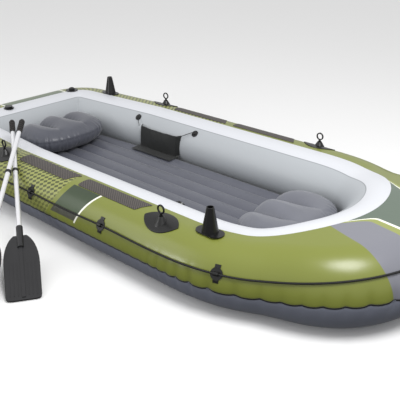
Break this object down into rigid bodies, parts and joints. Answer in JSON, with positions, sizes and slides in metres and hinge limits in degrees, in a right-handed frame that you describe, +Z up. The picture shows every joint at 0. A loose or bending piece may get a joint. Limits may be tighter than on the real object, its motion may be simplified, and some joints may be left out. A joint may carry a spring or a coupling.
{
  "type": "inflatable boat",
  "caption": "Open inflatable boat with a ring of twin air chambers, ribbed air floor, loose seat cushions, grab line, oarlocks, rod holders and a crossed pair of oars.",
  "frame": {"origin": "middle of the flat bottom on the ground, amidships", "axes": "+X towards the bow, +Y towards the port side, +Z up"},
  "size_m": [3.3192, 2.1953, 0.473],
  "materials": {
    "green_vinyl": "smooth olive-green coated vinyl, slightly glossy",
    "grey_vinyl": "pale grey coated vinyl, satin",
    "slate_vinyl": "slate grey vinyl, satin",
    "textured_rubber": "brown-grey moulded strip with diagonal ridges",
    "black_rope": "braided black cord",
    "black_rubber": "moulded black rubber, satin",
    "black_plastic": "moulded black plastic, satin",
    "black_fabric": "black coated fabric",
    "cushion_grey": "flocked grey vinyl",
    "cushion_light_grey": "flocked lighter grey vinyl",
    "blade_plastic": "charcoal moulded plastic with ribs",
    "shaft_aluminium": "bright satin anodised tube",
    "grip_rubber": "dark ribbed rubber",
    "steel_button": "small domed steel button"
  },
  "bodies": {
    "hull": {"outer_chamber": "green_vinyl", "inner_chamber": "grey_vinyl", "bottom_sheet": "slate_vinyl", "bottom_skirt": "slate_vinyl", "floor_chamber": "slate_vinyl", "grip_strips_port": "textured_rubber", "grip_strips_starboard": "textured_rubber", "grab_line": "black_rope", "rope_holders": "black_rubber", "oarlock_base_port_aft": "black_rubber", "oarlock_base_port_fore": "black_rubber", "oarlock_base_starboard_aft": "black_rubber", "oarlock_base_starboard_fore": "black_rubber", "rod_holder_port": "black_plastic", "rod_holder_starboard": "black_plastic", "motor_mount_fittings": "black_rubber", "hull_valve": "black_plastic", "inner_valve": "black_plastic", "floor_valve": "black_plastic", "battery_pouch": "black_fabric", "pouch_cords": "black_rope", "pouch_eyelets": "black_plastic"},
    "oarlock_port_aft": {"oarlock_ring_port_aft": "black_plastic"},
    "oarlock_port_fore": {"oarlock_ring_port_fore": "black_plastic"},
    "oarlock_starboard_aft": {"oarlock_ring_starboard_aft": "black_plastic"},
    "oarlock_starboard_fore": {"oarlock_ring_starboard_fore": "black_plastic"},
    "hull_cap": {"hull_valve_cap": "black_plastic"},
    "inner_cap": {"inner_valve_cap": "black_plastic"},
    "floor_cap": {"floor_valve_cap": "black_plastic"},
    "stern_cushion": {"stern_cushion": "cushion_grey"},
    "bow_cushion": {"bow_cushion": "cushion_light_grey"},
    "rear_oar": {"rear_blade": "blade_plastic", "rear_shaft_lower": "shaft_aluminium", "rear_shaft_upper": "shaft_aluminium", "rear_grip": "grip_rubber"},
    "rear_collar": {"rear_collar": "black_rubber"},
    "rear_button": {"rear_button": "steel_button"},
    "front_oar": {"front_blade": "blade_plastic", "front_shaft_lower": "shaft_aluminium", "front_shaft_upper": "shaft_aluminium", "front_grip": "grip_rubber"},
    "front_collar": {"front_collar": "black_rubber"},
    "front_button": {"front_button": "steel_button"}
  },
  "joints": [
    {"name": "oarlock_swivel_port_aft", "type": "hinge", "parent": "hull", "child": "oarlock_port_aft", "pos_m": [-0.69776, 0.64781, 0.3472], "axis": [0, 0, 1], "continuous": true},
    {"name": "oarlock_swivel_port_fore", "type": "hinge", "parent": "hull", "child": "oarlock_port_fore", "pos_m": [0.563, 0.651, 0.3472], "axis": [0, 0, 1], "continuous": true},
    {"name": "oarlock_swivel_starboard_aft", "type": "hinge", "parent": "hull", "child": "oarlock_starboard_aft", "pos_m": [-0.69776, -0.64781, 0.3472], "axis": [0, 0, 1], "continuous": true},
    {"name": "oarlock_swivel_starboard_fore", "type": "hinge", "parent": "hull", "child": "oarlock_starboard_fore", "pos_m": [0.563, -0.651, 0.3472], "axis": [0, 0, 1], "continuous": true},
    {"name": "hull_valve_turn", "type": "hinge", "parent": "hull", "child": "hull_cap", "pos_m": [-1.409, -0.162, 0.3284], "axis": [0, 0, 1], "range_deg": [0, 540]},
    {"name": "inner_valve_turn", "type": "hinge", "parent": "hull", "child": "inner_cap", "pos_m": [0.42, -0.38098, 0.25014], "axis": [0, 0.8517, 0.524], "range_deg": [0, 540]},
    {"name": "floor_valve_turn", "type": "hinge", "parent": "hull", "child": "floor_cap", "pos_m": [-0.35, -0.204, 0.1104], "axis": [0, 0, 1], "range_deg": [0, 540]},
    {"name": "stern_cushion_lift", "type": "slide", "parent": "hull", "child": "stern_cushion", "axis": [0, 0, 1], "range_m": [0, 0.35]},
    {"name": "bow_cushion_lift", "type": "slide", "parent": "hull", "child": "bow_cushion", "axis": [0, 0, 1], "range_m": [0, 0.35]},
    {"name": "rear_oar_lift", "type": "slide", "parent": "hull", "child": "rear_oar", "axis": [0, 0, 1], "range_m": [0, 0.4]},
    {"name": "front_oar_lift", "type": "slide", "parent": "rear_oar", "child": "front_oar", "axis": [0, 0, 1], "range_m": [0, 0.4]},
    {"name": "rear_collar_slide", "type": "slide", "parent": "rear_oar", "child": "rear_collar", "axis": [0.7907, -0.5158, -0.3298], "range_m": [0, 0.12]},
    {"name": "rear_button_press", "type": "slide", "parent": "rear_oar", "child": "rear_button", "axis": [0.2762, -0.1802, 0.944], "range_m": [0, 0.0035], "stiffness_N_per_m": 1500, "springref_m": -0.002},
    {"name": "front_collar_slide", "type": "slide", "parent": "front_oar", "child": "front_collar", "axis": [0.6474, -0.6817, -0.3408], "range_m": [0, 0.12]},
    {"name": "front_button_press", "type": "slide", "parent": "front_oar", "child": "front_button", "axis": [0.2347, -0.2471, 0.9401], "range_m": [0, 0.0035], "stiffness_N_per_m": 1500, "springref_m": -0.002}
  ]
}
